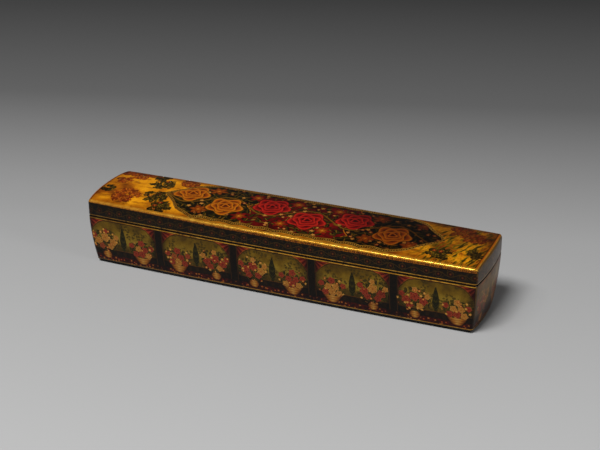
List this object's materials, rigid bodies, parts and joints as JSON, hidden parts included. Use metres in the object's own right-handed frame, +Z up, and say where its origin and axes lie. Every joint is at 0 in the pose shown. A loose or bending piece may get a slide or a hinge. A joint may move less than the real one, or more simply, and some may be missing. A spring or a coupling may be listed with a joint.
{
  "type": "pen box",
  "caption": "Long narrow lacquered pen box with bowed, tapering walls, a crowned lift-off lid seated on an inner collar, and a hinged inkwell, reed pens and small tools inside.",
  "frame": {"origin": "on the table under the middle of the base", "axes": "+X along the box towards the inkwell end, -Y towards the front side, +Z up"},
  "size_m": [0.2726, 0.059, 0.0485],
  "materials": {
    "lid_lacquer": "painted and gilt papier-mache under amber varnish",
    "base_lacquer": "painted and gilt papier-mache under amber varnish",
    "foot_board": "black lacquer, worn",
    "collar": "dark red lacquer",
    "partition": "dark red lacquer",
    "lining": "red lining paper",
    "brass": "aged brass",
    "steel": "ground steel",
    "reed": "polished brown reed",
    "bone": "polished bone"
  },
  "bodies": {
    "base": {"base_shell": "base_lacquer", "base_board": "foot_board", "collar_front": "collar", "collar_back": "collar", "collar_left": "collar", "collar_right": "collar", "floor_lining": "lining", "ink_partition": "partition", "inkwell_pot": "brass", "inkwell_top": "brass", "inkwell_lugs": "brass", "inkwell_pin": "steel", "reed_pen_broad": "reed", "reed_pen_medium": "reed", "reed_pen_fine": "reed", "knife_handle": "bone", "knife_ferrule": "brass", "knife_blade": "steel", "nib_plate": "bone", "spoon_bowl": "brass", "spoon_stem": "brass"},
    "lid": {"lid_shell": "lid_lacquer", "lid_lining": "lining"},
    "inkwell_cover": {"inkwell_cover": "brass", "cover_knob": "brass"}
  },
  "joints": [
    {"name": "lid_lift", "type": "slide", "parent": "base", "child": "lid", "axis": [0, 0, 1], "range_m": [0, 0.07]},
    {"name": "inkwell_cover_hinge", "type": "hinge", "parent": "base", "child": "inkwell_cover", "pos_m": [0.11015, 0.01041, 0.0197], "axis": [-1, 0, 0], "range_deg": [0, 100]}
  ]
}
